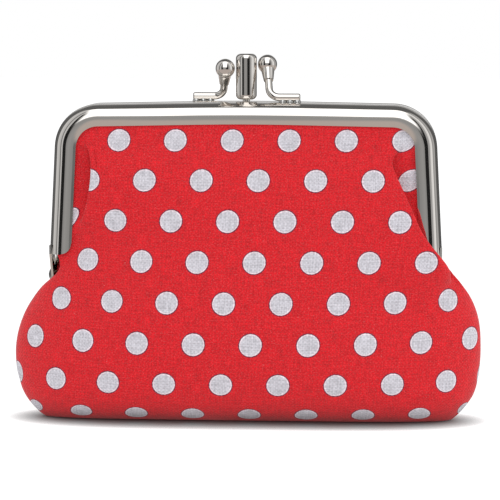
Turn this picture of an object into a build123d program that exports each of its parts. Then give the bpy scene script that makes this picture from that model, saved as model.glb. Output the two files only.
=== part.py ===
"""Kiss-lock coin purse with two pockets, in millimetres.

Two stamped frames swing on a rivet at each side of a fixed middle frame. A padded cotton bag hangs
from the outer frames, and a lined divider hangs from the middle one. The purse stands on its flat base:
+Z is up, the front faces -Y, and the origin is the middle of the resting face.
"""

import os
from math import asin, cos, radians, sin

from build123d import *

os.makedirs("parts", exist_ok=True)

# Bag, measured over the cotton
bag_width = 116.0
bag_depth = 32.4
belly_height = 15.0  # where the bag is widest and deepest
base_side_inset = 7.0  # how far the resting face stops short of the widest line at each side
base_depth_inset = 6.8
neck_height = 30.0  # top of the part of the bag that stays still
neck_side_inset = 4.0
neck_depth_inset = 1.6
base_rounding = 3.0  # exponent of the turn from the base into the walls
corner_fullness = 2.6  # exponent of the bag's plan: 2 is an ellipse, more is squarer

# Layers of each wall, from the outside in
cotton_thickness = 0.5
batting_thickness = 1.2
lining_thickness = 0.4
layer_gap = 0.06
batting_start = cotton_thickness + layer_gap
lining_start = batting_start + batting_thickness + layer_gap
stack_thickness = lining_start + lining_thickness
layers = {
    "panel": (0.0, cotton_thickness),
    "batting": (batting_start, batting_start + batting_thickness),
    "lining": (lining_start, stack_thickness),
}

# Frames
frame_width = 97.5  # over the legs at their lower ends
frame_top = 79.8
frame_crown = 0.9  # the top bar is this much higher at its middle than at the corners
leg_splay = 1.9  # each leg leans in by this much from its lower end to the corner
corner_radius = 11.0
crown_radius = 600.0
hinge_height = 36.0
leg_end = 41.8
sheet = 0.55  # wall of the outer frames
channel_depth = 5.3
front_flange = 5.5
inner_flange = 4.6
edge_round = 2.3
inner_round = 0.8
face_round = 6.0
face_turn = 0.45  # the front flange turns in by this much towards its lip
face_turn_start = 3.2
flange_end_round = 2.6
frame_gap = 0.3  # between neighbouring frames when the purse is shut
middle_depth = 2.8
middle_sheet = 0.5
middle_flange = 4.4
middle_top_inset = 0.2

# Hinges: the ears of the three frames lie side by side on one rivet
ear_sheet = 0.55
ear_gap = 0.1
ear_radius = 2.7
ear_foot_height = 2.2
rivet_radius = 1.0
rivet_clearance = 0.05
rivet_head_radius = 2.0
rivet_head_height = 1.0
rivet_tail_radius = 1.6
rivet_tail_height = 0.7
hinge_room = 0.4  # cloth stays this far from the ears and rivets

# Kiss-lock clasp
post_radius = 2.6
post_height = 11.4
post_round = 1.2
post_lift = 0.25  # the post clears the outer frames by this much
peg_radius = 0.9
peg_length = 1.25
ball_radius = 2.4
ball_gap = 0.15  # each ball passes the post with this much room
front_ball_height = 9.0  # ball centre above the frame's top
back_ball_height = 8.0
ball_lean = 1.4  # each ball stands this far past the purse's middle plane
rod_radius = 0.93
neck_radius = 1.2  # at its free end
neck_root_radius = 1.9  # at the ball's centre
neck_length = 2.4
neck_socket = 2.0
arm_bend = 2.6
foot_length = 7.6
foot_setback = 4.0  # of the foot's line from the middle plane
foot_lift = 0.3
solder_count = 3
solder_radius = 0.95
solder_pitch = 1.8

# Paper cords pressed into the channels
cord_radius = 0.6
middle_cord_radius = 0.5
cord_web_gap = 0.2
middle_cord_web_gap = 0.55
cord_face_gap = 0.1  # between a cord and the lining
cord_leg_gap = 3.7

# Cloth in the frames
cloth_clearance = 0.1  # to the flange's lip
channel_cover = 2.0  # how far the cloth's edge stops from the frame's outer edge
upper_bulge = 5.2
bulge_top_inset = 5.8
bulge_exponent = 1.15
fold_gap = 0.1  # between the fold and the cloth that rides in the frame

# Divider
divider_stiffener_thickness = 0.5
divider_lining_thickness = 0.3
divider_edge_gap = 0.5
divider_cover = 2.3
divider_waist = 2.0  # beside the ears, inside the middle frame's leg
divider_flare_height = 6.0

cloth_steps = 12

# Places that follow from the sizes above
front_face = middle_depth / 2 + frame_gap + channel_depth
inner_face = middle_depth / 2 + frame_gap
leg_x = frame_width / 2
front_ear_x = leg_x - ear_sheet
back_ear_x = front_ear_x - ear_gap - ear_sheet
middle_ear_x = back_ear_x - ear_gap - ear_sheet
middle_leg_x = middle_ear_x + ear_sheet
cloth_face = front_face - face_turn - sheet - cloth_clearance
cloth_half_width = back_ear_x - 0.2
ball_x = post_radius + ball_gap + ball_radius
shoulder = frame_top - frame_crown


def signed_power(value, exponent):
    return abs(value) ** exponent * (1 if value >= 0 else -1)


def bag_half_width(height):
    """Half the bag's width at a height, over the cotton."""
    if height < belly_height:
        return bag_width / 2 - base_side_inset * ((belly_height - height) / belly_height) ** base_rounding
    rise = (height - belly_height) / (neck_height - belly_height)
    return bag_width / 2 - neck_side_inset * rise**2


def bag_half_depth(height):
    """Half the bag's depth at a height, over the cotton."""
    if height < belly_height:
        return bag_depth / 2 - base_depth_inset * ((belly_height - height) / belly_height) ** base_rounding
    rise = (height - belly_height) / (neck_height - belly_height)
    return bag_depth / 2 - neck_depth_inset * rise**1.5


def inner_half_width(height):
    """Half the pocket's width at a height, inside the lining, whose levels rise with its base."""
    share = (height - stack_thickness) / (neck_height - stack_thickness)
    return bag_half_width(share * neck_height) - stack_thickness


def ring_points(height, inset, side):
    """The bag's plan at a height, from its left seam round one face to its right seam."""
    half_width = bag_half_width(height) - inset
    half_depth = bag_half_depth(height) - inset
    points = []
    for step in range(cloth_steps + 1):
        turn = radians(180 * step / cloth_steps)
        x = -half_width * signed_power(cos(turn), 2 / corner_fullness)
        y = side * half_depth * signed_power(sin(turn), 2 / corner_fullness)
        points.append((x, y))
    return points


def framed_points(height, inset, side):
    """The plan of the cloth in an outer frame: flat in the channel, bulging between the legs."""
    reach = leg_x - front_flange - 0.5
    top = frame_top - bulge_top_inset
    share = max(0.0, (top - height) / (top - leg_end))
    bulge = upper_bulge * share**bulge_exponent
    points = []
    for step in range(cloth_steps + 1):
        x = -cloth_half_width * signed_power(cos(radians(180 * step / cloth_steps)), 2 / corner_fullness)
        hump = max(0.0, 1 - (x / reach) ** 2) ** 2
        points.append((x, side * (cloth_face - inset + bulge * hump)))
    return points


def wall_points(height, inset, side):
    """The plan of one face of the wall, turning from the bag's shape into the framed one above the neck."""
    if height <= neck_height:
        return ring_points(height, inset, side)
    if height >= leg_end:
        return framed_points(height, inset, side)
    share = (height - neck_height) / (leg_end - neck_height)
    share = share * share * (3 - 2 * share)
    low, high = ring_points(neck_height, inset, side), framed_points(leg_end, inset, side)
    return [(a[0] + share * (b[0] - a[0]), a[1] + share * (b[1] - a[1])) for a, b in zip(low, high)]


def bag_body(inset):
    """The bag's closed outer shape up to the neck, with its base and walls moved in by the inset."""
    with BuildPart() as body:
        for share in (0.0, 0.07, 0.17, 0.3, 0.5, 0.75, 1.0):
            with BuildSketch(Plane.XY.offset(inset + share * (neck_height - inset))):
                with BuildLine():
                    Spline(*ring_points(share * neck_height, inset, -1))
                    Spline(*ring_points(share * neck_height, inset, 1))
                make_face()
        loft()
    return body.part


def bag_half(layer, side):
    """One layer of the front (side -1) or back (side 1) half of the still part of the bag."""
    outer, inner = layers[layer]
    with BuildPart() as half:
        add(bag_body(outer))
        add(bag_body(inner), mode=Mode.SUBTRACT)
        split(bisect_by=Plane.XZ, keep=Keep.TOP if side < 0 else Keep.BOTTOM)
    return half.part


def wall_strip(layer, side, heights):
    """One layer of the wall above the neck, lofted through the given heights."""
    outer_inset, inner_inset = layers[layer]
    with BuildPart() as strip:
        for height in heights:
            outer = wall_points(height, outer_inset, side)
            inner = wall_points(height, inner_inset, side)
            with BuildSketch(Plane.XY.offset(height)):
                with BuildLine():
                    Spline(*outer)
                    Line(outer[-1], inner[-1])
                    Spline(*inner)
                    Line(inner[0], outer[0])
                make_face()
        loft()
    return strip.part


def outline_points(leg_inset, top_inset, lowest):
    """Corners of a frame's outline, from the left leg's end over the top to the right leg's end."""
    lean = leg_splay / (shoulder - leg_end)
    foot = leg_x - leg_inset - lean * (lowest - leg_end)
    corner = leg_x - leg_inset - leg_splay
    return [
        (-foot, lowest),
        (-corner, shoulder - top_inset),
        (0, frame_top - top_inset),
        (corner, shoulder - top_inset),
        (foot, lowest),
    ]


def outline_radii(inset):
    return [corner_radius - inset, crown_radius, corner_radius - inset]


def frame_outline_face(leg_inset, top_inset, lowest, low, high):
    """A slab between two values of Y with a frame's outline, closed across its lower end."""
    with BuildPart() as slab:
        with BuildSketch(Plane.XZ.offset(-high)):
            with BuildLine():
                arch = FilletPolyline(
                    *outline_points(leg_inset, top_inset, lowest), radius=outline_radii(top_inset)
                )
                Line(arch @ 1, arch @ 0)
            make_face()
        extrude(amount=high - low)
    return slab.part


def path_plane(path):
    """A plane across a frame's path at its start: X points into the frame and Y to the purse's back."""
    along = path % 0
    return Plane(origin=path @ 0, x_dir=Vector(along.Z, 0, -along.X), z_dir=along)


def swept_channel(leg_inset, top_inset, corners_outer, radii_outer, corners_inner, radii_inner):
    """A channel swept along a frame's outline, from its profile's outer and inner lines."""
    with BuildPart() as channel:
        with BuildLine(Plane.XZ) as path:
            FilletPolyline(*outline_points(leg_inset, top_inset, leg_end), radius=outline_radii(top_inset))
        with BuildSketch(path_plane(path.wire())):
            with BuildLine():
                outer = FilletPolyline(*corners_outer, radius=radii_outer)
                inner = FilletPolyline(*corners_inner, radius=radii_inner)
                Line(outer @ 0, inner @ 0)
                Line(outer @ 1, inner @ 1)
            make_face()
        sweep(path=path.wire())
    return channel.part


def outer_channel(side):
    """The channel of the front (side -1) or back (side 1) frame, with its wide flange on the outside."""
    lip = front_face - face_turn
    return swept_channel(
        0,
        0,
        [
            (inner_flange, side * inner_face),
            (0, side * inner_face),
            (0, side * front_face),
            (face_turn_start, side * front_face),
            (front_flange, side * lip),
        ],
        [inner_round, edge_round, face_round],
        [
            (inner_flange, side * (inner_face + sheet)),
            (sheet, side * (inner_face + sheet)),
            (sheet, side * (front_face - sheet)),
            (face_turn_start, side * (front_face - sheet)),
            (front_flange, side * (lip - sheet)),
        ],
        [inner_round - sheet, edge_round - sheet, face_round - sheet],
    )


def ear(inner_x, side):
    """A pair of hinge ears that reach from the legs of a frame down and across to the rivets."""
    leg_middle = side * (front_face + inner_face) / 2
    leg_depth = channel_depth - 2 * inner_round
    with BuildPart() as ears:
        for hand in (-1, 1):
            with BuildSketch(Plane.YZ.offset(hand * (inner_x + ear_sheet / 2))):
                with Locations((0, hinge_height)):
                    Circle(ear_radius)
                with Locations((leg_middle, leg_end + ear_foot_height / 2)):
                    Rectangle(leg_depth, ear_foot_height)
                make_hull()
            extrude(amount=ear_sheet / 2, both=True)
    return ears.part


def joggle(side):
    """The steps that join the back frame's inboard ears to its legs."""
    with BuildPart() as steps:
        for hand in (-1, 1):
            middle = hand * (back_ear_x + ear_sheet + ear_gap / 2)
            with Locations((middle, side * (front_face + inner_face) / 2, leg_end + ear_foot_height / 2)):
                Box(ear_gap + 0.3, channel_depth - 2 * inner_round, ear_foot_height)
    return steps.part


def hinge_holes(radius):
    with BuildPart() as holes:
        with Locations(Plane.YZ.offset(0)):
            with Locations((0, hinge_height)):
                Cylinder(radius, 2 * leg_x + 20)
    return holes.part


def flange_corner(side):
    """The waste at the lower inner corners of the wide flange, outside its rounding."""
    depth = channel_depth / 2
    corner_middle = (flange_end_round - 1) / 2
    with BuildPart() as waste:
        for hand in (-1, 1):
            x = hand * (leg_x - front_flange)
            centre = (x + hand * flange_end_round, leg_end + flange_end_round)
            with BuildSketch(Plane.XZ.offset(-side * front_face)):
                with Locations((x + hand * corner_middle, leg_end + corner_middle)):
                    Rectangle(flange_end_round + 1, flange_end_round + 1)
                with Locations(centre):
                    Circle(flange_end_round, mode=Mode.SUBTRACT)
            extrude(amount=depth, both=True)
    return waste.part


def frame_cord(leg_inset, top_inset, depth_place, radius, web_gap):
    """The paper cord in a channel: a rod beside the channel's web, from leg to leg."""
    inset = web_gap + radius
    with BuildPart() as cord:
        with BuildLine(Plane.XZ.offset(-depth_place)) as path:
            FilletPolyline(
                *outline_points(leg_inset + inset, top_inset + inset, leg_end + cord_leg_gap),
                radius=outline_radii(top_inset + inset),
            )
        with BuildSketch(path_plane(path.wire())):
            Circle(radius)
        sweep(path=path.wire())
    return cord.part


def turned_round(part):
    """The same part turned half a turn about Z, which takes the front of the purse to its back."""
    return part.rotate(Axis.Z, 180)


def write(part, label):
    part.label = label
    export_step(part, f"parts/{label}.step")


# Front frame: channel, ears outermost on the rivets
with BuildPart() as front_frame:
    add(outer_channel(-1))
    add(flange_corner(-1), mode=Mode.SUBTRACT)
    add(ear(front_ear_x, -1))
    add(hinge_holes(rivet_radius + rivet_clearance), mode=Mode.SUBTRACT)
write(front_frame.part, "front_frame")

# Back frame: its ears stand inboard of the front frame's
with BuildPart() as back_frame:
    add(outer_channel(1))
    add(flange_corner(1), mode=Mode.SUBTRACT)
    add(ear(back_ear_x, 1))
    add(joggle(1))
    add(hinge_holes(rivet_radius + rivet_clearance), mode=Mode.SUBTRACT)
write(back_frame.part, "back_frame")

# Middle frame: a narrow channel that carries the rivets, the divider and the clasp's post
middle_leg_inset = leg_x - middle_leg_x
post_foot = frame_top + post_lift
with BuildPart() as middle_frame:
    half = middle_depth / 2
    add(
        swept_channel(
            middle_leg_inset,
            middle_top_inset,
            [(middle_flange, -half), (0, -half), (0, half), (middle_flange, half)],
            [inner_round, inner_round],
            [
                (middle_flange, middle_sheet - half),
                (middle_sheet, middle_sheet - half),
                (middle_sheet, half - middle_sheet),
                (middle_flange, half - middle_sheet),
            ],
            [inner_round - middle_sheet, inner_round - middle_sheet],
        )
    )
    for hand in (-1, 1):
        with BuildSketch(Plane.YZ.offset(hand * (middle_ear_x + ear_sheet / 2))):
            with Locations((0, hinge_height)):
                Circle(ear_radius)
            with Locations((0, leg_end + ear_foot_height / 2)):
                Rectangle(middle_depth - 2 * inner_round, ear_foot_height)
            make_hull()
        extrude(amount=ear_sheet / 2, both=True)
    add(hinge_holes(rivet_radius), mode=Mode.SUBTRACT)
    with Locations((0, 0, frame_top)):
        Cylinder(peg_radius, 4 * middle_sheet, mode=Mode.SUBTRACT)
write(middle_frame.part, "middle_frame")

# Rivets: a domed head outside the ears, a shank through all three and an upset tail inside
head_place = leg_x + ear_gap
tail_place = middle_ear_x
head_top = head_place + rivet_head_height
dome = (rivet_head_radius**2 + rivet_head_height**2) / (2 * rivet_head_height)
half_arc = asin(rivet_head_radius / dome) / 2
for hand, label in ((-1, "left_hinge_rivet"), (1, "right_hinge_rivet")):
    with BuildPart() as rivet:
        with BuildSketch(Plane.XZ):
            with BuildLine():
                Polyline(
                    (hand * head_top, 0),
                    (hand * (tail_place - rivet_tail_height), 0),
                    (hand * (tail_place - rivet_tail_height), rivet_tail_radius * 0.8),
                    (hand * tail_place, rivet_tail_radius),
                    (hand * tail_place, rivet_radius),
                    (hand * head_place, rivet_radius),
                    (hand * head_place, rivet_head_radius),
                )
                ThreePointArc(
                    (hand * head_place, rivet_head_radius),
                    (hand * (head_top - dome * (1 - cos(half_arc))), dome * sin(half_arc)),
                    (hand * head_top, 0),
                )
            make_face()
        revolve(axis=Axis.X)
    write(rivet.part.translate((0, 0, hinge_height)), label)

# Clasp post: a pill on a peg that is riveted through the middle frame
with BuildPart() as clasp_post:
    with Locations((0, 0, post_foot)):
        Cylinder(post_radius, post_height, align=(Align.CENTER, Align.CENTER, Align.MIN))
    fillet(clasp_post.edges().filter_by(GeomType.CIRCLE), post_round)
    with Locations((0, 0, post_foot + post_round)):
        Cylinder(peg_radius, peg_length + post_round, align=(Align.CENTER, Align.CENTER, Align.MAX))
write(clasp_post.part, "clasp_post")


def clasp_arm(ball_height):
    """A rod that lies on the front frame's top, then bends up and leans back past the middle plane."""
    ball = Vector(ball_x, ball_lean, frame_top + ball_height)
    foot_z = frame_top - frame_crown / 4 + foot_lift + rod_radius
    knee = Vector(ball_x + 0.9, -foot_setback, foot_z)
    lean = (ball - knee).normalized()
    end = ball - lean * (ball_radius + neck_length - neck_socket)
    with BuildPart() as arm:
        with BuildLine() as path:
            FilletPolyline(knee + Vector(foot_length, 0, 0), knee, end, radius=arm_bend)
        with BuildSketch(Plane(origin=path.wire() @ 0, x_dir=(0, 1, 0), z_dir=path.wire() % 0)):
            Circle(rod_radius)
        sweep(path=path.wire())
        fillet(arm.edges().group_by(Axis.X)[-1], rod_radius * 0.5)
    return arm.part, ball, lean


def clasp_ball(arm, ball, lean):
    """A ball with a neck that is crimped over the end of its arm."""
    with BuildPart() as knob:
        with Locations(ball):
            Sphere(ball_radius)
        with Locations(Plane(origin=ball, z_dir=lean * -1)):
            Cone(
                neck_root_radius,
                neck_radius,
                ball_radius + neck_length,
                align=(Align.CENTER, Align.CENTER, Align.MIN),
            )
        add(arm, mode=Mode.SUBTRACT)
    return knob.part


def solder_blobs(arm):
    """Mounds of solder between the arm's foot and the frame's top."""
    foot_start = ball_x + 0.9 + arm_bend
    with BuildPart() as solder:
        for number in range(solder_count):
            place = (foot_start + 0.6 + number * solder_pitch, -foot_setback, frame_top - frame_crown / 4)
            with Locations(place):
                Sphere(solder_radius)
        add(arm, mode=Mode.SUBTRACT)
        add(outer_channel(-1), mode=Mode.SUBTRACT)
        with Locations((foot_start + 3, -foot_setback, frame_top - sheet - 1)):
            Box(20, 10, 2, mode=Mode.SUBTRACT)
    return solder.part


# The front frame's arm stands right of the post with its ball behind it; the back one is half a turn round
for name, height in (("front", front_ball_height), ("back", back_ball_height)):
    arm_part, ball_centre, lean_way = clasp_arm(height)
    ball_part = clasp_ball(arm_part, ball_centre, lean_way)
    solder_part = solder_blobs(arm_part)
    for piece, label in (
        (arm_part, f"{name}_clasp_arm"),
        (ball_part, f"{name}_clasp_ball"),
        (solder_part, f"{name}_arm_solder"),
    ):
        write(turned_round(piece) if name == "back" else piece, label)

# Paper cords, on the inner side of the cloth in each channel
cord_place = cloth_face - stack_thickness - cord_face_gap - cord_radius
cord_web = sheet + cord_web_gap
middle_cord_web = middle_sheet + middle_cord_web_gap
write(frame_cord(0, 0, -cord_place, cord_radius, cord_web), "front_frame_cord")
write(frame_cord(0, 0, cord_place, cord_radius, cord_web), "back_frame_cord")
middle_cord = frame_cord(middle_leg_inset, middle_top_inset, 0, middle_cord_radius, middle_cord_web)
write(middle_cord, "middle_frame_cord")

# Cloth: each layer of each face has a part in its frame, a still part and a fold between them
bulge_top = frame_top - bulge_top_inset
upper_low = leg_end + fold_gap
quarters = (0, 0.25, 0.5, 0.75, 1)
upper_heights = [upper_low + share * (bulge_top - upper_low) for share in quarters] + [frame_top]
fold_heights = [neck_height + share * (leg_end - neck_height) for share in quarters]
hinge_reach = ear_radius + hinge_room
for side, name in ((-1, "front"), (1, "back")):
    faces = sorted((side * (inner_face + 0.5), side * (cloth_face + upper_bulge + 1)))
    held = frame_outline_face(channel_cover, channel_cover, leg_end, *faces)
    for layer in layers:
        with BuildPart() as upper:
            add(wall_strip(layer, side, upper_heights))
            add(held, mode=Mode.INTERSECT)
        write(upper.part, f"{name}_{layer}_upper")

        with BuildPart() as fold:
            add(wall_strip(layer, side, fold_heights))
            for hand in (-1, 1):
                near = middle_ear_x - rivet_tail_height - hinge_room
                with Locations((hand * (near + 20), 0, hinge_height - hinge_reach)):
                    Box(40, 80, 40, align=(Align.CENTER, Align.CENTER, Align.MIN), mode=Mode.SUBTRACT)
        write(fold.part, f"{name}_{layer}_fold")

        write(bag_half(layer, side), f"{name}_{layer}_lower")

# Divider: a stiffener between two linings, in the middle channel above and loose in the bag below
divider_low = stack_thickness + 2 * divider_edge_gap


def divider_sheet(low, high):
    """One layer of the divider between two values of Y."""
    waist = middle_leg_x - divider_waist
    flare = hinge_height - hinge_reach
    top = flare - divider_flare_height
    levels = [divider_low + share * (top - divider_low) for share in (0, 0.1, 0.3, 0.6, 1)]
    edge = [(inner_half_width(level) - divider_edge_gap, level) for level in levels]
    with BuildPart() as divider:
        with BuildSketch(Plane.XZ.offset(-high)):
            with BuildLine():
                right = Spline(*edge)
                left = Spline(*[(-x, z) for x, z in edge])
                Line(right @ 0, left @ 0)
                Polyline(
                    right @ 1,
                    (waist, flare),
                    (waist, leg_end + 1),
                    (-waist, leg_end + 1),
                    (-waist, flare),
                    left @ 1,
                )
            make_face()
        extrude(amount=high - low)
        add(
            frame_outline_face(
                middle_leg_inset + divider_cover, middle_top_inset + divider_cover, leg_end, low, high
            )
        )
    return divider.part


half_stiffener = divider_stiffener_thickness / 2
divider_face = half_stiffener + divider_lining_thickness
write(divider_sheet(-half_stiffener, half_stiffener), "divider_stiffener")
write(divider_sheet(-divider_face, -half_stiffener), "divider_front_lining")
write(divider_sheet(half_stiffener, divider_face), "divider_back_lining")
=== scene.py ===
import math
import bmesh
import bpy
import numpy as np
from mathutils import Matrix, Vector


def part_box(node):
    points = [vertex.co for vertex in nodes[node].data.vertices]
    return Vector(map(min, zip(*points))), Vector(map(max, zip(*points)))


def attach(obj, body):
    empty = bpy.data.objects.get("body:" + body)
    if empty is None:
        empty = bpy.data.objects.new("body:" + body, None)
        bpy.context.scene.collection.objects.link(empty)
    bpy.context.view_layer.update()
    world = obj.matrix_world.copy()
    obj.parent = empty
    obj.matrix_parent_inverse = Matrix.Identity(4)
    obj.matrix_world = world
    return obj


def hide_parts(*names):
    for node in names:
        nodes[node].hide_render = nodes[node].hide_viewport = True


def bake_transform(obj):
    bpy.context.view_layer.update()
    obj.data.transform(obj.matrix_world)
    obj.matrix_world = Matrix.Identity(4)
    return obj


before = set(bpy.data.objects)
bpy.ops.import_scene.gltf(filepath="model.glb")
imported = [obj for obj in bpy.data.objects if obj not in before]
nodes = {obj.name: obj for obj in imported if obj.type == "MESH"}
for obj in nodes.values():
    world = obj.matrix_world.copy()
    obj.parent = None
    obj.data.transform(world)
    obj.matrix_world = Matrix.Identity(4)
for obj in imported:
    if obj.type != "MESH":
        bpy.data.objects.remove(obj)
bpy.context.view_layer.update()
mm = 0.001

bpy.context.scene.view_settings.view_transform = "Standard"
print("frame loaded:", len(nodes), "nodes")

# camera first: a long lens, a little above the purse and to its right (degrees and mm)
view = {
    "azimuth": 4.0,
    "elevation": 5.7,
    "distance": 600.0,
    "lens": 172.8,
    "sensor": 36,
    "target": (0.9, 0.0, 42.5),
}


def placeCamera():
    turn, tilt = math.radians(view["azimuth"]), math.radians(view["elevation"])
    outward = Vector((math.sin(turn) * math.cos(tilt), -math.cos(turn) * math.cos(tilt), math.sin(tilt)))
    data = bpy.data.cameras.new("productCamera")
    data.lens = view["lens"]
    data.sensor_width = view["sensor"]
    data.clip_start = 0.01
    camera = bpy.data.objects.new("productCamera", data)
    bpy.context.scene.collection.objects.link(camera)
    camera.location = (Vector(view["target"]) + outward * view["distance"]) * mm
    camera.rotation_euler = (-outward).to_track_quat("-Z", "Y").to_euler()
    bpy.context.scene.camera = camera


placeCamera()

white = (1.0, 1.0, 1.0, 1.0)


def linear(hexColour):  # sRGB hex to the linear colour a socket takes
    channels = [int(hexColour[i : i + 2], 16) / 255 for i in (1, 3, 5)]
    return tuple(c / 12.92 if c <= 0.04045 else ((c + 0.055) / 1.055) ** 2.4 for c in channels) + (1.0,)


def addNode(tree, kind, inputs=None, **settings):
    node = tree.nodes.new("ShaderNode" + kind)
    for name, value in settings.items():
        setattr(node, name, value)
    for key, value in (inputs or {}).items():
        if isinstance(value, bpy.types.NodeSocket):
            tree.links.new(value, node.inputs[key])
        else:
            node.inputs[key].default_value = value
    return node


def fillRamp(ramp, stops, smooth="EASE"):
    ramp.color_ramp.interpolation = smooth
    elements = ramp.color_ramp.elements
    while len(elements) < len(stops):
        elements.new(0.5)
    for element, (place, colour) in zip(elements, stops):
        element.position = place
        element.color = linear(colour) if isinstance(colour, str) else (colour, colour, colour, 1.0)


def newMaterial(name, **constants):
    material = bpy.data.materials.new(name)
    material.use_nodes = True
    shader = material.node_tree.nodes["Principled BSDF"]
    for key, value in constants.items():
        shader.inputs[key.replace("_", " ")].default_value = value
    return material, material.node_tree, shader


# studio: what the bright metal mirrors, and an even soft white for the cloth
studio = {
    "around": [  # level by angle round the purse from the camera's direction, left to right
        (-180, 0.80), (-172, 0.70), (-166, 0.12), (-128, 0.14), (-122, 0.70), (-94, 0.62), (-80, 0.52),
        (-76, 0.16), (-67, 0.18), (-63, 0.70), (-50, 0.55), (-46, 0.02), (-29, 0.015), (-25, 0.30),
        (-8, 0.36), (8, 0.31), (12, 0.015), (37, 0.02), (41, 0.45), (53, 0.36), (60, 0.75), (86, 1.0),
        (92, 0.35), (118, 0.50), (126, 0.12), (164, 0.10), (170, 0.80), (180, 0.80),
    ],
    "overhead": [  # level by angle from the camera up and over to the back
        (0, 0.36), (13, 0.38), (18, 1.7), (90, 1.7), (96, 0.12), (140, 0.14), (152, 0.50), (180, 0.75),
    ],
    "overheadWidth": (0.30, 0.48),  # how far to each side the lamp over the purse reaches
    "lampRise": (0.08, 0.24),  # how far up the painted lamp takes over from the walls around
    "below": "#C2B7B1",
    "belowFall": (-0.11, -0.26),  # how far down the colour below takes over
    "softLevel": 1.10,
    "keyDirection": (0.55, -0.25, 0.80),
    "keyShare": 0.50,
}


def buildStudio():
    world = bpy.data.worlds.new("studio")
    bpy.context.scene.world = world
    world.use_nodes = True
    tree = world.node_tree
    background = tree.nodes["Background"]
    direction = addNode(tree, "TexCoord").outputs["Generated"]
    axes = addNode(tree, "SeparateXYZ", {0: direction})
    toFront = addNode(tree, "Math", {0: axes.outputs["Y"], 1: -1.0}, operation="MULTIPLY").outputs[0]
    turn = addNode(tree, "Math", {0: axes.outputs["X"], 1: toFront}, operation="ARCTAN2").outputs[0]
    turned = addNode(
        tree, "Math", {0: turn, 1: math.radians(view["azimuth"])}, operation="SUBTRACT"
    ).outputs[0]
    aroundShare = addNode(tree, "MapRange", {0: turned, 1: -math.pi, 2: math.pi}).outputs[0]
    around = addNode(tree, "ValToRGB", {0: aroundShare})
    fillRamp(around, [((angle + 180) / 360, level) for angle, level in studio["around"]])
    rise = addNode(tree, "Math", {0: axes.outputs["Z"], 1: toFront}, operation="ARCTAN2").outputs[0]
    overShare = addNode(tree, "Math", {0: rise, 1: math.pi}, operation="DIVIDE").outputs[0]
    over = addNode(tree, "ValToRGB", {0: overShare})
    fillRamp(over, [(angle / 180, level) for angle, level in studio["overhead"]])
    low, high = studio["lampRise"]
    upward = addNode(
        tree, "MapRange", {0: axes.outputs["Z"], 1: low, 2: high}, interpolation_type="SMOOTHSTEP"
    )
    aside = addNode(tree, "Math", {0: axes.outputs["X"]}, operation="ABSOLUTE").outputs[0]
    near, far = studio["overheadWidth"]
    within = addNode(
        tree, "MapRange", {0: aside, 1: near, 2: far, 3: 1.0, 4: 0.0}, interpolation_type="SMOOTHSTEP"
    ).outputs[0]
    lamp = addNode(tree, "Math", {0: upward.outputs[0], 1: within}, operation="MULTIPLY").outputs[0]
    mirrored = addNode(tree, "Mix", {0: lamp, 6: around.outputs[0], 7: over.outputs[0]}, data_type="RGBA")
    high, low = studio["belowFall"]
    downward = addNode(
        tree, "MapRange", {0: axes.outputs["Z"], 1: high, 2: low}, interpolation_type="SMOOTHSTEP"
    )
    grounded = addNode(
        tree, "Mix", {0: downward.outputs[0], 6: mirrored.outputs[2], 7: linear(studio["below"])},
        data_type="RGBA",
    )
    key = Vector(studio["keyDirection"]).normalized()
    towardKey = addNode(tree, "VectorMath", {0: direction, 1: key}, operation="DOT_PRODUCT").outputs["Value"]
    soft = addNode(
        tree, "Math", {0: towardKey, 1: studio["keyShare"], 2: studio["softLevel"]}, operation="MULTIPLY_ADD"
    ).outputs[0]
    path = addNode(tree, "LightPath")
    lit = addNode(
        tree, "Mix", {0: path.outputs["Is Glossy Ray"], 6: soft, 7: grounded.outputs[2]}, data_type="RGBA"
    )
    seen = addNode(
        tree, "Mix", {0: path.outputs["Is Camera Ray"], 6: lit.outputs[2], 7: white}, data_type="RGBA"
    )
    tree.links.new(seen.outputs[2], background.inputs["Color"])


buildStudio()

floorLook = {
    "halfSize": 3.0,  # m
    "tone": (0.22, 0.22, 0.22, 1.0),
    "shadeReach": 0.007,  # m, how near the purse has to be to shade the sheet
    "shadePower": 2.0,
    "glow": 0.87,
}


def layFloor():
    shape = bmesh.new()
    bmesh.ops.create_grid(shape, x_segments=1, y_segments=1, size=floorLook["halfSize"])
    mesh = bpy.data.meshes.new("floor")
    shape.to_mesh(mesh)
    shape.free()
    floor = bpy.data.objects.new("floor", mesh)
    bpy.context.scene.collection.objects.link(floor)
    material, tree, shader = newMaterial("glowingPaperSweep", Roughness=0.9, Base_Color=floorLook["tone"])
    shader.inputs["Specular IOR Level"].default_value = 0.0
    # a painted glow keeps the sheet white, and a painted shadow darkens it where the purse stands close
    nearness = addNode(
        tree, "AmbientOcclusion", {"Distance": floorLook["shadeReach"]}, samples=8
    ).outputs["AO"]
    shade = addNode(tree, "Math", {0: nearness, 1: floorLook["shadePower"]}, operation="POWER").outputs[0]
    glow = addNode(tree, "Math", {0: shade, 1: floorLook["glow"]}, operation="MULTIPLY").outputs[0]
    shader.inputs["Emission Color"].default_value = white
    tree.links.new(glow, shader.inputs["Emission Strength"])
    mesh.materials.append(material)
    floor.visible_glossy = False  # the metal mirrors the painted studio, not the sheet of paper


layFloor()
print("studio ready")


def plainWeave(tree, across, along, spacing):  # over and under: a wave across times a wave along
    waves = []
    for axis in (across, along):
        phase = addNode(tree, "Math", {0: axis, 1: math.pi / spacing}, operation="MULTIPLY").outputs[0]
        waves.append(addNode(tree, "Math", {0: phase}, operation="SINE").outputs[0])
    return addNode(tree, "Math", {0: waves[0], 1: waves[1]}, operation="MULTIPLY").outputs[0]


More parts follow.
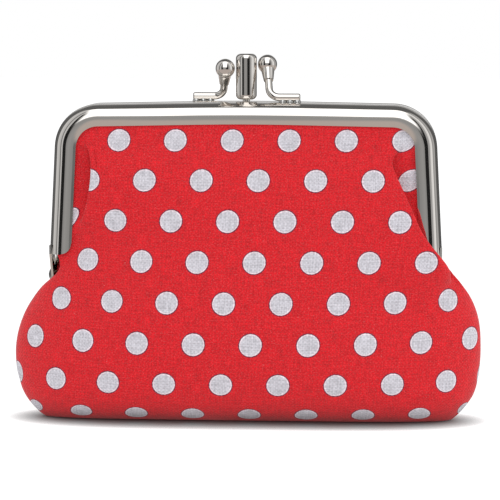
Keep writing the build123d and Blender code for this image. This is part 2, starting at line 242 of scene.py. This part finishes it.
def colourAndRaise(tree, shader, pattern, stops, relief, strength, distance):
    tone = addNode(tree, "ValToRGB", {0: pattern})
    fillRamp(tone, stops, "LINEAR")
    tree.links.new(tone.outputs[0], shader.inputs["Base Color"])
    bump = addNode(tree, "Bump", {"Height": relief, "Strength": strength, "Distance": distance})
    tree.links.new(bump.outputs[0], shader.inputs["Normal"])


# printed cotton: matt plain-weave cloth, its dots pigment-printed with a faint dark outline
cottonLook = {
    "ground": "#C30E1A",
    "dot": "#BBB9C0",
    "dotRim": "#DCCBD2",
    "outline": "#5E1230",
    "speck": "#F0C9C6",
    "dotRadius": 2.84,
    "dotPitch": 14.05,
    "rowPitch": 10.1,
    "threadSpacing": 0.5,  # mm; real threads are finer, and these are drawn coarse so that they show
    "wander": (0.35, 0.9),  # noise per mm, and how many mm it moves a thread
    "slubs": ((0.3, 2.6, 1.0), (2.6, 0.3, 1.0)),  # noise per mm, drawn out along each set of threads
    "shade": (0.70, 1.28),  # how dark and how bright the slubs make the dye
    # painted shade and light of the weave: how dark its hollows between threads and how bright its raised
    # threads
    "gapShade": (0.90, 1.08),
    "nap": {"scale": 3.0, "from": 0.48, "full": 0.78, "share": 0.10},
    "lint": {"scale": (1.6, 2.4, 1.0), "from": 0.62, "full": 0.76, "share": 0.40},
    "relief": (0.5, 0.00008),  # strength, and height in metres
}


def makeCotton():
    look = cottonLook
    material, tree, shader = newMaterial(
        "printedCotton", Roughness=0.86, Sheen_Weight=0.12, Sheen_Roughness=0.5
    )
    shader.inputs["Specular IOR Level"].default_value = 0.25
    flat = addNode(tree, "UVMap", uv_map="flat").outputs[0]
    axes = addNode(tree, "SeparateXYZ", {0: flat})
    u, v = axes.outputs["X"], axes.outputs["Y"]
    # thread relief, each thread wandering a little
    scale, reach = look["wander"]
    wander = addNode(tree, "TexNoise", {"Vector": flat, "Scale": scale, "Detail": 2.0}).outputs["Fac"]
    moved = []
    for axis in (u, v):
        shifted = addNode(tree, "Math", {0: wander, 1: reach, 2: axis}, operation="MULTIPLY_ADD")
        moved.append(shifted.outputs[0])
    weave = plainWeave(tree, *moved, look["threadSpacing"])
    # slubs: noise stretched along each thread's direction
    slubs = []
    for stretch in look["slubs"]:
        along = addNode(tree, "VectorMath", {0: flat, 1: stretch}, operation="MULTIPLY").outputs[0]
        noise = addNode(tree, "TexNoise", {"Vector": along, "Scale": 1.0, "Detail": 3.0})
        slubs.append(noise.outputs["Fac"])
    slub = addNode(tree, "Math", {0: slubs[0], 1: slubs[1]}, operation="ADD").outputs[0]
    # dots on a staggered lattice, measured in the cloth's own millimetres
    cell = (look["dotPitch"], 2 * look["rowPitch"], 1.0)
    distances = []
    for offset in ((0.5, 0.5, 0.0), (0.0, 0.0, 0.0)):
        inCells = addNode(tree, "VectorMath", {0: flat, 1: cell}, operation="DIVIDE").outputs[0]
        shifted = addNode(tree, "VectorMath", {0: inCells, 1: offset}, operation="ADD").outputs[0]
        part = addNode(tree, "VectorMath", {0: shifted}, operation="FRACTION").outputs[0]
        centred = addNode(
            tree, "VectorMath", {0: part, 1: (0.5, 0.5, 0.0)}, operation="SUBTRACT"
        ).outputs[0]
        sized = addNode(
            tree, "VectorMath", {0: centred, 1: (cell[0], cell[1], 0.0)}, operation="MULTIPLY"
        ).outputs[0]
        distances.append(addNode(tree, "VectorMath", {0: sized}, operation="LENGTH").outputs["Value"])
    nearest = addNode(tree, "Math", {0: distances[0], 1: distances[1]}, operation="MINIMUM").outputs[0]
    stepped = addNode(tree, "Math", {0: weave, 1: 0.05, 2: nearest}, operation="MULTIPLY_ADD").outputs[0]
    share = addNode(tree, "Math", {0: stepped, 1: 2 * look["dotRadius"]}, operation="DIVIDE").outputs[0]
    printed = addNode(tree, "ValToRGB", {0: share})
    fillRamp(
        printed,
        [(0.0, look["dot"]), (0.425, look["dot"]), (0.455, look["dotRim"]), (0.475, look["dotRim"]),
         (0.495, look["outline"]), (0.515, look["outline"]), (0.54, look["ground"]), (1.0, look["ground"])],
        "LINEAR",
    )
    # colour wanders a little with the threads and over the width of the cloth, and painted shade darkens it
    # in the weave's hollows between threads, with painted light on the raised threads
    dark, bright = look["shade"]
    shade = addNode(tree, "MapRange", {0: slub, 1: 0.65, 2: 1.35, 3: dark, 4: bright}).outputs[0]
    dark, bright = look["gapShade"]
    gapShade = addNode(tree, "MapRange", {0: weave, 1: -1.0, 2: 1.0, 3: dark, 4: bright}).outputs[0]
    both = addNode(tree, "Math", {0: shade, 1: gapShade}, operation="MULTIPLY").outputs[0]
    tintedAndShaded = addNode(tree, "VectorMath", {0: printed.outputs[0], 3: both}, operation="SCALE").outputs[0]
    # a pale nap of fibre ends all over, and a few larger specks of lint
    nap, lint = look["nap"], look["lint"]
    fibres = addNode(
        tree, "TexNoise", {"Vector": flat, "Scale": nap["scale"], "Detail": 2.0, "Roughness": 0.7}
    )
    napRange = {0: fibres.outputs["Fac"], 1: nap["from"], 2: nap["full"], 3: 0.0, 4: nap["share"]}
    napShare = addNode(tree, "MapRange", napRange).outputs[0]
    spread = addNode(tree, "VectorMath", {0: flat, 1: lint["scale"]}, operation="MULTIPLY").outputs[0]
    specks = addNode(tree, "TexNoise", {"Vector": spread, "Scale": 1.0, "Detail": 4.0, "Roughness": 0.75})
    lintRange = {0: specks.outputs["Fac"], 1: lint["from"], 2: lint["full"], 3: 0.0, 4: lint["share"]}
    lintShare = addNode(tree, "MapRange", lintRange).outputs[0]
    strength = addNode(tree, "Math", {0: napShare, 1: lintShare}, operation="MAXIMUM").outputs[0]
    dusted = addNode(
        tree, "Mix", {0: strength, 6: tintedAndShaded, 7: linear(look["speck"])}, data_type="RGBA"
    ).outputs[2]
    tree.links.new(dusted, shader.inputs["Base Color"])
    relief = addNode(tree, "Math", {0: slub, 1: 0.6, 2: weave}, operation="MULTIPLY_ADD").outputs[0]
    strength, height = look["relief"]
    bump = addNode(tree, "Bump", {"Height": relief, "Strength": strength, "Distance": height})
    tree.links.new(bump.outputs[0], shader.inputs["Normal"])
    return material


# nickel plate on drawn steel: a near mirror with a faint warm cast, hairlines and a softly wavy surface
nickelLook = {
    "colour": "#E3DFDA",
    "roughness": 0.04,
    "crown": 5.6,  # mm in from the arch's outline where the pressed face starts to fall away
    "crownSlope": 0.1125,  # per mm
    "ripple": 0.16,  # mm of waviness that the press leaves, over some 16 mm
    "rippleScale": 60.0,  # per metre, as the next two are
    "cloudScale": 90.0,
    "hairlineScale": (150.0, 900.0, 4000.0),
    "hairlines": (0.06, 0.00002),  # strength, and depth in metres
}
legLean = 1.9 / 37.1  # mm that the frame's legs lean in for each mm up
footLevel = 41.8  # mm, the level of the legs' feet, above the ears
archOutline = {"foot": 49.4, "corner": 11.5}  # half width at the foot, and corner radius


def archDistance(tree, where):  # mm in from the outline of the frames' arch, from a place in metres
    inMm = addNode(tree, "VectorMath", {0: where, 3: 1000.0}, operation="SCALE").outputs[0]
    axes = addNode(tree, "SeparateXYZ", {0: inMm})
    corner = archOutline["corner"]
    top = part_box("front_frame")[1][2] / mm
    side = addNode(tree, "Math", {0: axes.outputs["X"]}, operation="ABSOLUTE").outputs[0]
    sideLine = archOutline["foot"] + legLean * footLevel - corner
    sideways = addNode(tree, "Math", {0: axes.outputs["Z"], 1: legLean, 2: side}, operation="MULTIPLY_ADD")
    pastSide = addNode(tree, "Math", {0: sideways.outputs[0], 1: sideLine}, operation="SUBTRACT").outputs[0]
    pastTop = addNode(
        tree, "Math", {0: axes.outputs["Z"], 1: top - corner}, operation="SUBTRACT"
    ).outputs[0]
    pair = addNode(tree, "CombineXYZ", {0: pastSide, 1: pastTop}).outputs[0]
    inCorner = addNode(tree, "VectorMath", {0: pair, 1: (0.0, 0.0, 0.0)}, operation="MAXIMUM").outputs[0]
    length = addNode(tree, "VectorMath", {0: inCorner}, operation="LENGTH").outputs["Value"]
    inward = addNode(tree, "Math", {0: corner, 1: length}, operation="SUBTRACT").outputs[0]
    return addNode(tree, "Math", {0: inward, 1: 0.0}, operation="MAXIMUM").outputs[0]


def makeNickel():
    look = nickelLook
    material, tree, shader = newMaterial("nickelPlate", Metallic=1.0, Base_Color=linear(look["colour"]))
    where = addNode(tree, "TexCoord").outputs["Object"]
    cloud = addNode(
        tree, "TexNoise", {"Vector": where, "Scale": look["cloudScale"], "Detail": 4.0}
    ).outputs["Fac"]
    rough = addNode(
        tree, "MapRange", {0: cloud, 1: 0.3, 2: 0.75, 3: look["roughness"], 4: look["roughness"] * 2.0}
    ).outputs[0]
    tree.links.new(rough, shader.inputs["Roughness"])
    hairlines = addNode(tree, "Mapping", {"Vector": where, "Scale": look["hairlineScale"]}).outputs[0]
    fine = addNode(tree, "TexNoise", {"Vector": hairlines, "Scale": 1.0, "Detail": 2.0}).outputs["Fac"]
    strength, depth = look["hairlines"]
    scratched = addNode(tree, "Bump", {"Height": fine, "Strength": strength, "Distance": depth})
    # the pressed sheet: crowned towards its outline and faintly rippled
    inward = archDistance(tree, where)
    fall = addNode(tree, "Math", {0: inward, 1: look["crown"]}, operation="SUBTRACT").outputs[0]
    fallen = addNode(tree, "Math", {0: fall, 1: 0.0}, operation="MINIMUM").outputs[0]
    fallSquare = addNode(tree, "Math", {0: fallen, 1: fallen}, operation="MULTIPLY").outputs[0]
    wave = addNode(
        tree, "TexNoise", {"Vector": where, "Scale": look["rippleScale"], "Detail": 1.0}
    ).outputs["Fac"]
    rippled = addNode(tree, "Math", {0: wave, 1: look["ripple"]}, operation="MULTIPLY").outputs[0]
    crowned = addNode(
        tree, "Math", {0: fallSquare, 1: -look["crownSlope"] / 2, 2: rippled}, operation="MULTIPLY_ADD"
    ).outputs[0]
    bump = addNode(
        tree, "Bump", {"Height": crowned, "Strength": 1.0, "Distance": mm, "Normal": scratched.outputs[0]}
    )
    tree.links.new(bump.outputs[0], shader.inputs["Normal"])
    return material


# tin-lead solder: duller and greyer than the plate, with a grainy frozen skin
def makeSolder():
    material, tree, shader = newMaterial("tinSolder", Metallic=1.0)
    where = addNode(tree, "TexCoord").outputs["Object"]
    grain = addNode(tree, "TexNoise", {"Vector": where, "Scale": 2500.0, "Detail": 3.0}).outputs["Fac"]
    colourAndRaise(tree, shader, grain, [(0.3, "#9C9C9A"), (0.7, "#DEDEDC")], grain, 0.4, 0.00005)
    rough = addNode(tree, "MapRange", {0: grain, 1: 0.3, 2: 0.7, 3: 0.18, 4: 0.38}).outputs[0]
    tree.links.new(rough, shader.inputs["Roughness"])
    return material


# unbleached cotton lining: thin plain weave, cream, matt
def makeLining():
    material, tree, shader = newMaterial("calicoLining", Roughness=0.9, Sheen_Weight=0.1)
    shader.inputs["Specular IOR Level"].default_value = 0.2
    flat = addNode(tree, "UVMap", uv_map="flat").outputs[0]
    axes = addNode(tree, "SeparateXYZ", {0: flat})
    weave = plainWeave(tree, axes.outputs["X"], axes.outputs["Y"], 0.5)  # mm between threads, drawn coarse
    fleck = addNode(tree, "TexNoise", {"Vector": flat, "Scale": 1.3, "Detail": 4.0}).outputs["Fac"]
    # the weave also darkens the colour a little in its hollows, as painted shade between threads, and
    # lightens it on its raised threads
    mixed = addNode(tree, "Math", {0: weave, 1: 0.12, 2: fleck}, operation="MULTIPLY_ADD").outputs[0]
    colourAndRaise(tree, shader, mixed, [(0.25, "#CFC6B4"), (0.75, "#F0EADD")], weave, 0.4, 0.00006)
    return material


# twisted kraft paper cord: fibrous, light brown, its fibres drawn out slantwise
def makePaperCord():
    material, tree, shader = newMaterial("kraftPaperCord", Roughness=0.92)
    where = addNode(tree, "TexCoord").outputs["Object"]
    lay = {"Rotation": (0.5, 0.6, 0.5), "Scale": (300, 2400, 900)}
    stretched = addNode(tree, "Mapping", {"Vector": where, **lay}).outputs[0]
    fibre = addNode(tree, "TexNoise", {"Vector": stretched, "Scale": 1.0, "Detail": 4.0}).outputs["Fac"]
    colourAndRaise(tree, shader, fibre, [(0.3, "#A98A5E"), (0.7, "#D9C096")], fibre, 0.6, 0.0001)
    return material


# grey pulp board: matt, speckled with darker fibres
def makeBoard():
    material, tree, shader = newMaterial("pulpBoard", Roughness=0.95)
    where = addNode(tree, "TexCoord").outputs["Object"]
    speck = addNode(tree, "TexNoise", {"Vector": where, "Scale": 1400.0, "Detail": 5.0}).outputs["Fac"]
    colourAndRaise(tree, shader, speck, [(0.35, "#8F8678"), (0.6, "#B9AF9F")], speck, 0.3, 0.00005)
    return material


finishes = {
    "cotton": makeCotton(),
    "frame_metal": makeNickel(),
    "solder": makeSolder(),
    "lining": makeLining(),
    "cord_paper": makePaperCord(),
    "stiffener": makeBoard(),
}
finishByNode = {
    "cord_paper": ["front_frame_cord", "back_frame_cord", "middle_frame_cord"],
    "solder": ["front_arm_solder", "back_arm_solder"],
    "stiffener": ["divider_stiffener"],
    "frame_metal": [
        "middle_frame", "front_frame", "back_frame", "left_hinge_rivet", "right_hinge_rivet", "clasp_post",
        "front_clasp_arm", "front_clasp_ball", "back_clasp_arm", "back_clasp_ball",
    ],
}
for finish, names in finishByNode.items():
    for name in names:
        mesh = nodes[name].data
        mesh.materials.clear()
        mesh.materials.append(finishes[finish])
print("finishes made")

# Cloth walls. Every table runs over the level, in mm: from 8 up it is the height on the wall, and
# further down it follows the cloth round under the purse, to the seam at the base level.
levelStep = 0.25
levels = np.arange(-14.0, 96.0, levelStep)


def smoothTable(pairs, spread=1.5):  # a soft curve through (level, value) pairs
    places, values = zip(*sorted(pairs))
    raw = np.interp(levels, places, values)
    reach = int(4 * spread / levelStep)
    kernel = np.exp(-0.5 * (np.arange(-reach, reach + 1) * levelStep / spread) ** 2)
    padded = np.pad(raw, reach, mode="edge")
    soft = np.convolve(padded, kernel / kernel.sum(), mode="valid")
    return lambda level: np.interp(level, levels, soft)


def step(value, low, high):
    share = np.clip((value - low) / (high - low), 0, 1)
    return share * share * (3 - 2 * share)


panelShape = {
    "columns": 84,
    "rows": 62,
    "topLevel": 77.6,
    "baseLevel": -9.5,
    "thickness": 1.6,
    "tuck": 42.4,  # mm from the middle to where the cloth goes in behind the frame's flange
    "tuckLevels": (38, 43),
    "crowding": 1.35,  # draws the columns closer together near the sides
    "centreDepth": [
        (78, 5.9), (74, 6.1), (70, 7.2), (65, 8.5), (60, 9.6), (55, 10.4), (50, 11.1), (45, 11.9),
        (41.8, 12.5), (36, 13.8), (30, 15.0), (24, 15.9), (18, 16.2), (13, 16.2), (10, 15.9), (8, 15.4),
        (6, 14.5), (4, 13.1), (2, 11.3), (0, 9.4), (-2, 7.4), (-4, 5.5), (-9.5, 0.0),
    ],
    "height": [
        (96, 96), (8, 8), (6, 6.1), (4, 4.6), (2, 3.1), (0, 1.85), (-2, 0.85), (-4, 0.2), (-5, 0.03),
        (-14, 0.03),
    ],
    "flatness": [
        (78, 2.2), (50, 2.4), (42, 2.8), (34, 2.9), (20, 2.9), (10, 3.2), (5, 3.8), (0, 5.0),
        (-14, 5.0),
    ],
    "roundness": [(78, 1.1), (46, 0.9), (40, 0.8), (34, 0.66), (20, 0.62), (5, 0.56), (-14, 0.5)],
    "edgeDepth": [
        (78, 5.9), (41.8, 5.95), (40, 6.2), (38, 5.7), (36.5, 5.1), (35.5, 4.3), (34.6, 3.5),
        (33.5, 2.3), (32.3, 0.8), (31, 0.0), (-14, 0.0),
    ],
}
sideShapes = {
    "right": {
        "edge": [
            (41.8, 47.35), (40, 48.6), (38, 51.0), (36, 52.8), (34, 54.1), (32.2, 55.4), (29.7, 56.7),
            (27, 57.7), (24.7, 58.2), (22, 58.5), (17, 58.6), (14, 58.4), (9.5, 57.8), (7, 57.1),
            (5, 56.2), (3, 55.0), (1, 53.6), (-1, 52.4), (-3, 51.4), (-5, 50.8), (-14, 50.5),
        ],
        "pleat": [(72, 0), (68, 0.4), (65.5, 1), (38, 1), (31, 0)],
        "tipX": [
            (72, 34.4), (66, 35.7), (62, 37.5), (58, 39.5), (53, 41.8), (48, 43.9), (44.5, 46.6),
            (41.8, 49.0), (39.8, 50.5), (37.3, 52.1), (34.8, 53.7), (32.2, 55.4), (30, 56.6),
        ],
        "tipDepth": [
            (70, 7.0), (66, 8.0), (60, 9.1), (55, 9.9), (50, 10.4), (46, 10.5), (43, 10.0), (40, 9.0),
            (37, 7.2), (34.8, 5.0), (32.5, 3.0), (30, 1.5),
        ],
        "innerX": [
            (72, 34.2), (66, 34.6), (62, 35.9), (58, 37.6), (54, 39.4), (50, 41.0), (47, 41.9),
            (43, 42.3), (41, 44.8), (39, 48.2), (37, 51.1), (34.8, 53.4), (32.2, 55.2), (30, 56.6),
        ],
        "innerDepth": [
            (70, 6.2), (66, 6.0), (54, 6.2), (50, 6.9), (48, 7.5), (42, 7.6), (40, 7.1), (37, 5.9),
            (34.8, 3.9), (32.5, 2.0), (30, 0.8),
        ],
    },
    "left": {
        "edge": [
            (41.8, 46.9), (40, 45.9), (38, 46.0), (36.5, 47.2), (35.5, 48.6), (34.6, 49.9),
            (33.5, 51.2), (32.2, 52.3), (29.7, 54.2), (27.2, 55.7), (24.7, 56.8), (22, 57.7),
            (19.6, 58.2), (17, 58.5), (12, 58.3), (9.5, 57.6), (7, 57.0), (5, 56.1), (3, 55.1),
            (1, 53.9), (-1, 52.8), (-3, 51.8), (-5, 51.0), (-14, 50.5),
        ],
        "pleat": [(72, 0), (69, 0.3), (66.5, 1), (54, 1), (50, 0.6), (45, 0)],
        "tipX": [(72, 37.8), (67, 38.4), (63, 38.0), (58, 38.5), (52, 39.8), (46, 41.4)],
        "tipDepth": [(72, 7.0), (66, 8.2), (60, 8.8), (55, 8.8), (50, 8.2)],
        "innerX": [(72, 37.4), (67, 36.8), (63, 36.4), (58, 36.9), (52, 38.8), (46, 41.0)],
        "innerDepth": [(72, 6.2), (66, 6.0), (55, 6.2), (50, 7.0)],
    },
}
archShape = {"foot": 47.35, "centreHeight": 68.8, "radius": 9.0}  # the cloth's outline inside the frame
pleatShape = {
    "tip": 0.86,  # share of the half width where a pleat may turn
    "turn": 0.45,  # share of the fold where it turns outward again
    "flatness": 3.4,  # of the wall's front, up to the tip
    "roundness": 0.5,
    "tipSlope": -1.6,
    "innerSlope": -1.0,
    "outwardSlope": -1.6,
    "sideSlope": 4.0,
}


def edgeWidth(shape, level):  # half width of the cloth, inside the frame above the hinge
    below = smoothTable(shape["edge"], 0.8)(level)
    framed = archShape["foot"] - legLean * (level - footLevel)
    over = np.clip((level - archShape["centreHeight"]) / archShape["radius"], 0, 0.995)
    framed = framed - archShape["radius"] * (1 - np.sqrt(1 - over**2))
    return np.where(level >= footLevel, framed, below)


def hermite(share, start, startSlope, end, endSlope):
    square, cube = share**2, share**3
    fromStart = (2 * cube - 3 * square + 1) * start + (cube - 2 * square + share) * startSlope
    return fromStart + (3 * square - 2 * cube) * end + (cube - square) * endSlope


def wallPoints(across, level, hands, pleatShare):
    centre = smoothTable(panelShape["centreDepth"])(level)
    flatness = smoothTable(panelShape["flatness"])(level)
    roundness = smoothTable(panelShape["roundness"])(level)
    edgeDepth = smoothTable(panelShape["edgeDepth"], 0.8)(level)
    x, y = np.zeros_like(level), np.zeros_like(level)
    for hand, sign in zip(hands, (-1, 1)):
        shape = sideShapes[hand]
        share = np.clip(across * sign, 0, 1)
        width = edgeWidth(shape, level)
        reach = 1 - step(level, *panelShape["tuckLevels"]) * (1 - panelShape["tuck"] / width)
        plain = np.clip(1 - (share / reach) ** flatness, 0, 1) ** roundness
        plainX, plainY = share * width, edgeDepth + (centre - edgeDepth) * plain
        pleat = smoothTable(shape["pleat"], 1.2)(level) * pleatShare
        tipX, tipDepth = smoothTable(shape["tipX"])(level), smoothTable(shape["tipDepth"])(level)
        innerX = smoothTable(shape["innerX"], 1.0)(level)
        innerDepth = smoothTable(shape["innerDepth"])(level)
        tip, turn = pleatShape["tip"], pleatShape["turn"]
        toTip = np.clip(share / tip, 0, 1)
        mainX = toTip * tipX
        crown = (1 - toTip ** pleatShape["flatness"]) ** pleatShape["roundness"]
        mainY = tipDepth + (centre - tipDepth) * crown
        fold = np.clip((share - tip) / (1 - tip), 0, 1)
        inward, outward = np.clip(fold / turn, 0, 1), np.clip((fold - turn) / (1 - turn), 0, 1)
        inwardX = hermite(inward, tipX, 0.0, innerX, 0.0)
        outwardX = hermite(outward, innerX, 0.0, width, pleatShape["sideSlope"])
        inwardY = hermite(inward, tipDepth, pleatShape["tipSlope"], innerDepth, pleatShape["innerSlope"])
        outwardY = hermite(outward, innerDepth, pleatShape["outwardSlope"], edgeDepth, 0.0)
        foldX = np.where(fold < turn, inwardX, outwardX)
        foldY = np.where(fold < turn, inwardY, outwardY)
        foldedX = np.where(share <= tip, mainX, foldX)
        foldedY = np.where(share <= tip, mainY, foldY)
        mine = across * sign >= 0
        x = np.where(mine, sign * ((1 - pleat) * plainX + pleat * foldedX), x)
        y = np.where(mine, (1 - pleat) * plainY + pleat * foldedY, y)
    return np.stack([x, -y, smoothTable(panelShape["height"], 1.0)(level)], 1)


def readVectors(mesh, name):
    values = np.zeros(len(mesh.vertices) * 3)
    mesh.vertices.foreach_get(name, values)
    return values.reshape(-1, 3)


def setPoints(mesh, points):
    mesh.vertices.foreach_set("co", (points * mm).ravel())
    mesh.update()


def getPoints(mesh):
    return readVectors(mesh, "co") / mm


def wallGrid(name, topLevel):  # a flat grid, with each point's share of the half width and its level
    shape = bmesh.new()
    counts = {"x_segments": panelShape["columns"], "y_segments": panelShape["rows"]}
    bmesh.ops.create_grid(shape, size=1.0, calc_uvs=True, **counts)
    mesh = bpy.data.meshes.new(name)
    shape.to_mesh(mesh)
    shape.free()
    shares = readVectors(mesh, "co")
    across = np.sin(panelShape["crowding"] * shares[:, 0]) / math.sin(panelShape["crowding"])
    level = panelShape["baseLevel"] + (shares[:, 1] + 1) / 2 * (topLevel - panelShape["baseLevel"])
    return mesh, across, level


printLay = {  # how each panel was cut from its printed cloth
    "topRow": 7.5,  # mm from the panel's top edge down to the first row of dots
    "dotAside": 3.0,  # mm from the middle to the nearest dot of that row
    "lean": math.radians(2.1),  # the print's columns, off upright
    "gather": 0.012,  # share by which the rows draw together at "sideAt" from the middle
    "sideAt": 50.0,
}


def layFlat(mesh, printed=False):  # the cloth's own millimetres, along its rows and up its middle
    columns, rows = panelShape["columns"], panelShape["rows"]
    points = getPoints(mesh).reshape(rows + 1, columns + 1, 3)
    stepsAcross = np.linalg.norm(np.diff(points, axis=1), axis=2)
    u = np.concatenate([np.zeros((rows + 1, 1)), np.cumsum(stepsAcross, axis=1)], axis=1)
    middle = columns // 2
    u = u - u[:, middle : middle + 1]
    stepsUp = np.linalg.norm(np.diff(points[:, middle], axis=0), axis=1)
    v = np.concatenate([[0.0], np.cumsum(stepsUp)])
    v = np.repeat(v[:, None], columns + 1, axis=1)
    flat = np.stack([u.ravel(), v.ravel()], 1)
    if printed:
        fromTopRow = flat[:, 1] - flat[:, 1].max() + printLay["topRow"]
        gathered = 1 + printLay["gather"] * (flat[:, 0] / printLay["sideAt"]) ** 2
        aside = flat[:, 0] + printLay["dotAside"] - math.tan(printLay["lean"]) * fromTopRow
        flat = np.stack([aside, fromTopRow * gathered], 1)
    layer = mesh.uv_layers.active or mesh.uv_layers.new(name="flat")
    layer.name = "flat"
    corners = np.zeros(len(mesh.loops), dtype=np.int32)
    mesh.loops.foreach_get("vertex_index", corners)
    layer.data.foreach_set("uv", flat[corners].ravel())


def applyModifiers(piece):
    graph = bpy.context.evaluated_depsgraph_get()
    shown = piece.evaluated_get(graph)
    finished = bpy.data.meshes.new_from_object(shown, preserve_all_data_layers=True, depsgraph=graph)
    old = piece.data
    piece.modifiers.clear()
    piece.data = finished
    finished.name = piece.name
    bpy.data.meshes.remove(old)


def finishSheet(piece, name, thickness):  # gives the sheet its thickness, inwards
    thick = piece.modifiers.new(name, "SOLIDIFY")
    thick.thickness = thickness * mm
    thick.offset = -1
    applyModifiers(piece)
    for polygon in piece.data.polygons:
        polygon.use_smooth = True


puff = {
    "scale": 10.0,  # the cloth is simulated this much enlarged
    "frames": 16,
    "cap": 1.2,  # mm that a point may move
    "heldSides": (0.80, 0.88),  # shares of the half width between which the hold sets in
    "heldTop": (66, 70),  # levels
    "heldBase": (0.5, 4),
    "cloth": {
        "quality": 6,
        "mass": 0.3,
        "tension_stiffness": 25,
        "compression_stiffness": 25,
        "shear_stiffness": 12,
        "bending_stiffness": 1.5,
        "use_pressure": True,
        "uniform_pressure_force": 3.0,
    },
}


def puffUp(piece, pinned):  # the batting pushes the cotton out between its seams
    rest = getPoints(piece.data)
    piece.data.transform(Matrix.Scale(puff["scale"], 4))
    group = piece.vertex_groups.new(name="held")
    for index, weight in enumerate(pinned):
        if weight > 0:
            group.add([index], float(weight), "REPLACE")
    cloth = piece.modifiers.new("puff", "CLOTH")
    for setting, value in puff["cloth"].items():
        setattr(cloth.settings, setting, value)
    cloth.settings.vertex_group_mass = "held"
    cloth.settings.effector_weights.gravity = 0
    cloth.collision_settings.use_collision = False
    cloth.point_cache.frame_start = 1
    cloth.point_cache.frame_end = puff["frames"]
    scene = bpy.context.scene
    for number in range(1, puff["frames"] + 1):
        scene.frame_set(number)
    applyModifiers(piece)
    scene.frame_set(1)
    moved = getPoints(piece.data) / puff["scale"] - rest
    size = np.linalg.norm(moved, axis=1, keepdims=True)
    capped = moved * (puff["cap"] * np.tanh(size / puff["cap"]) / np.maximum(size, 1e-6))
    print(piece.name, "puffed by up to", round(float(np.linalg.norm(capped, axis=1).max()), 2), "mm")
    setPoints(piece.data, rest + capped)


def newPiece(name, mesh, material):
    piece = bpy.data.objects.new(name, mesh)
    bpy.context.scene.collection.objects.link(piece)
    mesh.materials.append(material)
    return piece


def sewPanel(name, side, hands, pleatShare):
    mesh, across, level = wallGrid(name, panelShape["topLevel"])
    points = wallPoints(across, level, hands, pleatShare)
    if side > 0:
        points[:, 1] *= -1
    setPoints(mesh, points)
    layFlat(mesh, printed=True)
    piece = newPiece(name, mesh, finishes["cotton"])
    if side > 0:
        mesh.flip_normals()
    held = np.maximum(step(np.abs(across), *puff["heldSides"]), step(level, *puff["heldTop"]))
    held = np.maximum(held, 1 - step(level, *puff["heldBase"]))
    puffUp(piece, held)
    piece.modifiers.new("finer", "SUBSURF")
    piece.modifiers["finer"].levels = piece.modifiers["finer"].render_levels = 1
    finishSheet(piece, "batting", panelShape["thickness"])
    return piece


clothParts = ("upper", "fold", "lower")
frontPanel = sewPanel("front_panel", -1, ("left", "right"), 1.0)
backPanel = sewPanel("back_panel", 1, ("left", "left"), 0.6)
for piece, name in ((frontPanel, "front"), (backPanel, "back")):
    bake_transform(piece)
    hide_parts(*[f"{name}_{layer}_{part}" for layer in ("panel", "batting") for part in clothParts])
print("panels sewn")

# linings: the same walls without pleats, moved in by the padding
liningShape = {
    "inset": 1.95,
    "thickness": 0.3,
    "narrowing": 0.995,
    "topDrop": 0.3,
    "pleatDepth": 3.8,  # mm deep at most where a pleat takes up room
    "pleatFrom": (24, 33),  # mm from the middle
    "pleatAbove": (40, 50),  # levels
    "closest": 0.05,  # mm, never nearer than this to the middle plane
    "flat": (0.120, 0.085),
    "area": 0.0086,
}


def sewLining(name, side):
    mesh, across, level = wallGrid(name, panelShape["topLevel"] - liningShape["topDrop"])
    across = across * liningShape["narrowing"]
    points = wallPoints(across, level, ("left", "left"), 0.0)
    setPoints(mesh, points)
    normals = readVectors(mesh, "normal")
    outward = np.sign((normals[:, 1] * np.minimum(points[:, 1], -0.01)).sum())
    points = points - outward * normals * liningShape["inset"]
    # behind the pleats, which take up depth, the lining lies flatter
    clear = step(np.abs(points[:, 0]), *liningShape["pleatFrom"]) * step(level, *liningShape["pleatAbove"])
    flatter = np.minimum(-points[:, 1], liningShape["pleatDepth"])
    points[:, 1] = -((1 - clear) * -points[:, 1] + clear * flatter)
    points[:, 1] = np.minimum(points[:, 1], -liningShape["closest"])
    if side > 0:
        points[:, 1] *= -1
    setPoints(mesh, points)
    layFlat(mesh)
    piece = newPiece(name, mesh, finishes["lining"])
    if side > 0:
        mesh.flip_normals()
    finishSheet(piece, "thickness", liningShape["thickness"])
    return piece


for side, name in ((-1, "front"), (1, "back")):
    lining = sewLining(f"{name}_lining", side)
    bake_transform(lining)
    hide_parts(*[f"{name}_lining_{part}" for part in clothParts])
print("linings sewn")


def coverDivider(name):  # flat cloth pasted to a face of the board, cut to the board's outline
    shape = bmesh.new()
    shape.from_mesh(nodes[name].data)
    bmesh.ops.remove_doubles(shape, verts=shape.verts, dist=1e-6)
    flat = shape.loops.layers.uv.new("flat")
    for face in shape.faces:
        for corner in face.loops:
            corner[flat].uv = (corner.vert.co.x / mm, corner.vert.co.z / mm)
    mesh = bpy.data.meshes.new(name + "_cloth")
    shape.to_mesh(mesh)
    shape.free()
    return newPiece(name + "_cloth", mesh, finishes["lining"])


for name in ("divider_front_lining", "divider_back_lining"):
    cover = coverDivider(name)
    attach(cover, "middle")
    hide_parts(name)
print("divider covered")
